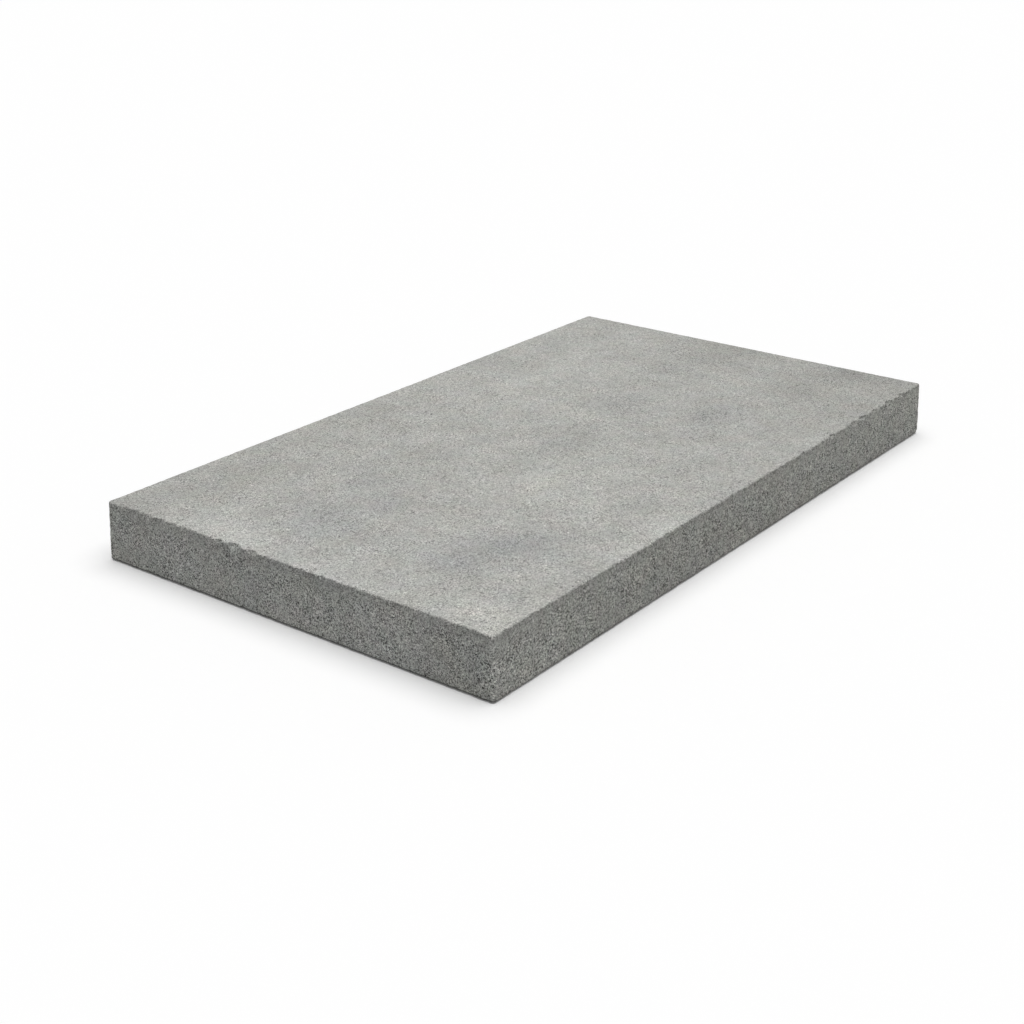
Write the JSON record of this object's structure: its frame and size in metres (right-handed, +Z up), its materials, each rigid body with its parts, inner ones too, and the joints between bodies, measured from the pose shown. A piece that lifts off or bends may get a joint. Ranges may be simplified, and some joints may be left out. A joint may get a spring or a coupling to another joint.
{
  "type": "concrete paving slab",
  "caption": "Plain rectangular concrete paving slab with a fine-grained walking face, coarser sides, small rounded arrises and slightly drafted sides.",
  "frame": {"origin": "middle of the underside, on the bed that the slab lies on", "axes": "+X along the slab's length, +Y across its width, +Z up through its thickness to the walking face"},
  "size_m": [0.5998, 0.3498, 0.045],
  "materials": {
    "concrete": "matte"
  },
  "bodies": {
    "root": {"paving_slab": "concrete"}
  },
  "joints": []
}
